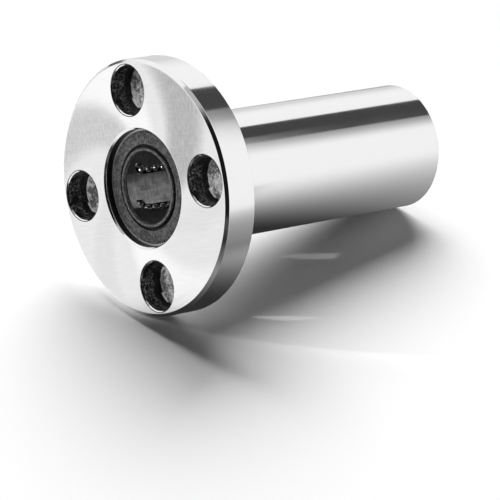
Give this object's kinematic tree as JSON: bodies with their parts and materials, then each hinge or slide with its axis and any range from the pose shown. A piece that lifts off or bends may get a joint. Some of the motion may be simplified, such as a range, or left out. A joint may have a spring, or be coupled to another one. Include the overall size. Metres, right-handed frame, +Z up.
{
  "type": "linear ball bushing",
  "caption": "Long linear ball bushing with a round flange, a ground steel sleeve, recirculating ball circuits in two cages, lip seals and recessed bolt holes.",
  "frame": {"origin": "centre of the bolt circle on the flange's seating face, on the bore axis", "axes": "+Y along the bore from the flange to the tail, the flange's open front faces -Y, +Z up and +X to the right seen from the front, with the four bolt holes on the X and Z axes"},
  "size_m": [0.042, 0.057, 0.042],
  "materials": {
    "ground_steel": "ground and polished, face turned",
    "cage_resin": "moulded black resin",
    "ring_steel": "stamped steel",
    "seal_rubber": "moulded nitrile rubber",
    "ball_steel": "polished bearing steel"
  },
  "bodies": {
    "shell": {"flanged_sleeve": "ground_steel", "front_cage": "cage_resin", "rear_cage": "cage_resin", "front_side_ring": "ring_steel", "rear_side_ring": "ring_steel", "front_seal": "seal_rubber", "rear_seal": "seal_rubber"},
    "front_load_rows": {"front_load_balls": "ball_steel"},
    "front_return_rows": {"front_return_balls": "ball_steel"},
    "rear_load_rows": {"rear_load_balls": "ball_steel"},
    "rear_return_rows": {"rear_return_balls": "ball_steel"},
    "front_inner_turn_1": {"front_inner_turn_1": "ball_steel"},
    "front_outer_turn_1": {"front_outer_turn_1": "ball_steel"},
    "front_inner_turn_2": {"front_inner_turn_2": "ball_steel"},
    "front_outer_turn_2": {"front_outer_turn_2": "ball_steel"},
    "front_inner_turn_3": {"front_inner_turn_3": "ball_steel"},
    "front_outer_turn_3": {"front_outer_turn_3": "ball_steel"},
    "front_inner_turn_4": {"front_inner_turn_4": "ball_steel"},
    "front_outer_turn_4": {"front_outer_turn_4": "ball_steel"},
    "front_inner_turn_5": {"front_inner_turn_5": "ball_steel"},
    "front_outer_turn_5": {"front_outer_turn_5": "ball_steel"},
    "front_inner_turn_6": {"front_inner_turn_6": "ball_steel"},
    "front_outer_turn_6": {"front_outer_turn_6": "ball_steel"},
    "rear_inner_turn_1": {"rear_inner_turn_1": "ball_steel"},
    "rear_outer_turn_1": {"rear_outer_turn_1": "ball_steel"},
    "rear_inner_turn_2": {"rear_inner_turn_2": "ball_steel"},
    "rear_outer_turn_2": {"rear_outer_turn_2": "ball_steel"},
    "rear_inner_turn_3": {"rear_inner_turn_3": "ball_steel"},
    "rear_outer_turn_3": {"rear_outer_turn_3": "ball_steel"},
    "rear_inner_turn_4": {"rear_inner_turn_4": "ball_steel"},
    "rear_outer_turn_4": {"rear_outer_turn_4": "ball_steel"},
    "rear_inner_turn_5": {"rear_inner_turn_5": "ball_steel"},
    "rear_outer_turn_5": {"rear_outer_turn_5": "ball_steel"},
    "rear_inner_turn_6": {"rear_inner_turn_6": "ball_steel"},
    "rear_outer_turn_6": {"rear_outer_turn_6": "ball_steel"}
  },
  "joints": [
    {"name": "front_load_travel", "type": "slide", "parent": "shell", "child": "front_load_rows", "axis": [0, 1, 0], "range_m": [-0.00078, 0.00078]},
    {"name": "rear_load_travel", "type": "slide", "parent": "shell", "child": "rear_load_rows", "axis": [0, 1, 0], "range_m": [-0.00078, 0.00078]},
    {"name": "front_return_travel", "type": "slide", "parent": "shell", "child": "front_return_rows", "axis": [0, 1, 0], "range_m": [-0.00078, 0.00078]},
    {"name": "rear_return_travel", "type": "slide", "parent": "shell", "child": "rear_return_rows", "axis": [0, 1, 0], "range_m": [-0.00078, 0.00078]},
    {"name": "front_inner_turn_1_roll", "type": "hinge", "parent": "shell", "child": "front_inner_turn_1", "pos_m": [0.00674, 0.01218, 0.00208], "axis": [-0.8339, 0, -0.5519], "range_deg": [-22.51, 22.51]},
    {"name": "front_outer_turn_1_roll", "type": "hinge", "parent": "shell", "child": "front_outer_turn_1", "pos_m": [0.00674, -0.0003, 0.00208], "axis": [-0.8339, 0, -0.5519], "range_deg": [-22.51, 22.51]},
    {"name": "front_inner_turn_2_roll", "type": "hinge", "parent": "shell", "child": "front_inner_turn_2", "pos_m": [0.00157, 0.01218, 0.00688], "axis": [0.061, 0, -0.9981], "range_deg": [-22.51, 22.51]},
    {"name": "front_outer_turn_2_roll", "type": "hinge", "parent": "shell", "child": "front_outer_turn_2", "pos_m": [0.00157, -0.0003, 0.00688], "axis": [0.061, 0, -0.9981], "range_deg": [-22.51, 22.51]},
    {"name": "front_inner_turn_3_roll", "type": "hinge", "parent": "shell", "child": "front_inner_turn_3", "pos_m": [-0.00517, 0.01218, 0.0048], "axis": [0.8949, 0, -0.4462], "range_deg": [-22.51, 22.51]},
    {"name": "front_outer_turn_3_roll", "type": "hinge", "parent": "shell", "child": "front_outer_turn_3", "pos_m": [-0.00517, -0.0003, 0.0048], "axis": [0.8949, 0, -0.4462], "range_deg": [-22.51, 22.51]},
    {"name": "front_inner_turn_4_roll", "type": "hinge", "parent": "shell", "child": "front_inner_turn_4", "pos_m": [-0.00674, 0.01218, -0.00208], "axis": [0.8339, 0, 0.5519], "range_deg": [-22.51, 22.51]},
    {"name": "front_outer_turn_4_roll", "type": "hinge", "parent": "shell", "child": "front_outer_turn_4", "pos_m": [-0.00674, -0.0003, -0.00208], "axis": [0.8339, 0, 0.5519], "range_deg": [-22.51, 22.51]},
    {"name": "front_inner_turn_5_roll", "type": "hinge", "parent": "shell", "child": "front_inner_turn_5", "pos_m": [-0.00157, 0.01218, -0.00688], "axis": [-0.061, 0, 0.9981], "range_deg": [-22.51, 22.51]},
    {"name": "front_outer_turn_5_roll", "type": "hinge", "parent": "shell", "child": "front_outer_turn_5", "pos_m": [-0.00157, -0.0003, -0.00688], "axis": [-0.061, 0, 0.9981], "range_deg": [-22.51, 22.51]},
    {"name": "front_inner_turn_6_roll", "type": "hinge", "parent": "shell", "child": "front_inner_turn_6", "pos_m": [0.00517, 0.01218, -0.0048], "axis": [-0.8949, 0, 0.4462], "range_deg": [-22.51, 22.51]},
    {"name": "front_outer_turn_6_roll", "type": "hinge", "parent": "shell", "child": "front_outer_turn_6", "pos_m": [0.00517, -0.0003, -0.0048], "axis": [-0.8949, 0, 0.4462], "range_deg": [-22.51, 22.51]},
    {"name": "rear_inner_turn_1_roll", "type": "hinge", "parent": "shell", "child": "rear_inner_turn_1", "pos_m": [0.00674, 0.03282, -0.00208], "axis": [0.8339, 0, -0.5519], "range_deg": [-22.51, 22.51]},
    {"name": "rear_outer_turn_1_roll", "type": "hinge", "parent": "shell", "child": "rear_outer_turn_1", "pos_m": [0.00674, 0.0453, -0.00208], "axis": [0.8339, 0, -0.5519], "range_deg": [-22.51, 22.51]},
    {"name": "rear_inner_turn_2_roll", "type": "hinge", "parent": "shell", "child": "rear_inner_turn_2", "pos_m": [0.00157, 0.03282, -0.00688], "axis": [-0.061, 0, -0.9981], "range_deg": [-22.51, 22.51]},
    {"name": "rear_outer_turn_2_roll", "type": "hinge", "parent": "shell", "child": "rear_outer_turn_2", "pos_m": [0.00157, 0.0453, -0.00688], "axis": [-0.061, 0, -0.9981], "range_deg": [-22.51, 22.51]},
    {"name": "rear_inner_turn_3_roll", "type": "hinge", "parent": "shell", "child": "rear_inner_turn_3", "pos_m": [-0.00517, 0.03282, -0.0048], "axis": [-0.8949, 0, -0.4462], "range_deg": [-22.51, 22.51]},
    {"name": "rear_outer_turn_3_roll", "type": "hinge", "parent": "shell", "child": "rear_outer_turn_3", "pos_m": [-0.00517, 0.0453, -0.0048], "axis": [-0.8949, 0, -0.4462], "range_deg": [-22.51, 22.51]},
    {"name": "rear_inner_turn_4_roll", "type": "hinge", "parent": "shell", "child": "rear_inner_turn_4", "pos_m": [-0.00674, 0.03282, 0.00208], "axis": [-0.8339, 0, 0.5519], "range_deg": [-22.51, 22.51]},
    {"name": "rear_outer_turn_4_roll", "type": "hinge", "parent": "shell", "child": "rear_outer_turn_4", "pos_m": [-0.00674, 0.0453, 0.00208], "axis": [-0.8339, 0, 0.5519], "range_deg": [-22.51, 22.51]},
    {"name": "rear_inner_turn_5_roll", "type": "hinge", "parent": "shell", "child": "rear_inner_turn_5", "pos_m": [-0.00157, 0.03282, 0.00688], "axis": [0.061, 0, 0.9981], "range_deg": [-22.51, 22.51]},
    {"name": "rear_outer_turn_5_roll", "type": "hinge", "parent": "shell", "child": "rear_outer_turn_5", "pos_m": [-0.00157, 0.0453, 0.00688], "axis": [0.061, 0, 0.9981], "range_deg": [-22.51, 22.51]},
    {"name": "rear_inner_turn_6_roll", "type": "hinge", "parent": "shell", "child": "rear_inner_turn_6", "pos_m": [0.00517, 0.03282, 0.0048], "axis": [0.8949, 0, 0.4462], "range_deg": [-22.51, 22.51]},
    {"name": "rear_outer_turn_6_roll", "type": "hinge", "parent": "shell", "child": "rear_outer_turn_6", "pos_m": [0.00517, 0.0453, 0.0048], "axis": [0.8949, 0, 0.4462], "range_deg": [-22.51, 22.51]}
  ],
  "couplings": [
    {"joint": "rear_load_travel", "follows": "front_load_travel", "ratio": 1},
    {"joint": "front_return_travel", "follows": "front_load_travel", "ratio": -1},
    {"joint": "rear_return_travel", "follows": "front_load_travel", "ratio": -1},
    {"joint": "front_inner_turn_1_roll", "follows": "front_load_travel", "rad_per_m": 503.46},
    {"joint": "front_outer_turn_1_roll", "follows": "front_load_travel", "rad_per_m": 503.46},
    {"joint": "front_inner_turn_2_roll", "follows": "front_load_travel", "rad_per_m": 503.46},
    {"joint": "front_outer_turn_2_roll", "follows": "front_load_travel", "rad_per_m": 503.46},
    {"joint": "front_inner_turn_3_roll", "follows": "front_load_travel", "rad_per_m": 503.46},
    {"joint": "front_outer_turn_3_roll", "follows": "front_load_travel", "rad_per_m": 503.46},
    {"joint": "front_inner_turn_4_roll", "follows": "front_load_travel", "rad_per_m": 503.46},
    {"joint": "front_outer_turn_4_roll", "follows": "front_load_travel", "rad_per_m": 503.46},
    {"joint": "front_inner_turn_5_roll", "follows": "front_load_travel", "rad_per_m": 503.46},
    {"joint": "front_outer_turn_5_roll", "follows": "front_load_travel", "rad_per_m": 503.46},
    {"joint": "front_inner_turn_6_roll", "follows": "front_load_travel", "rad_per_m": 503.46},
    {"joint": "front_outer_turn_6_roll", "follows": "front_load_travel", "rad_per_m": 503.46},
    {"joint": "rear_inner_turn_1_roll", "follows": "front_load_travel", "rad_per_m": 503.46},
    {"joint": "rear_outer_turn_1_roll", "follows": "front_load_travel", "rad_per_m": 503.46},
    {"joint": "rear_inner_turn_2_roll", "follows": "front_load_travel", "rad_per_m": 503.46},
    {"joint": "rear_outer_turn_2_roll", "follows": "front_load_travel", "rad_per_m": 503.46},
    {"joint": "rear_inner_turn_3_roll", "follows": "front_load_travel", "rad_per_m": 503.46},
    {"joint": "rear_outer_turn_3_roll", "follows": "front_load_travel", "rad_per_m": 503.46},
    {"joint": "rear_inner_turn_4_roll", "follows": "front_load_travel", "rad_per_m": 503.46},
    {"joint": "rear_outer_turn_4_roll", "follows": "front_load_travel", "rad_per_m": 503.46},
    {"joint": "rear_inner_turn_5_roll", "follows": "front_load_travel", "rad_per_m": 503.46},
    {"joint": "rear_outer_turn_5_roll", "follows": "front_load_travel", "rad_per_m": 503.46},
    {"joint": "rear_inner_turn_6_roll", "follows": "front_load_travel", "rad_per_m": 503.46},
    {"joint": "rear_outer_turn_6_roll", "follows": "front_load_travel", "rad_per_m": 503.46}
  ]
}
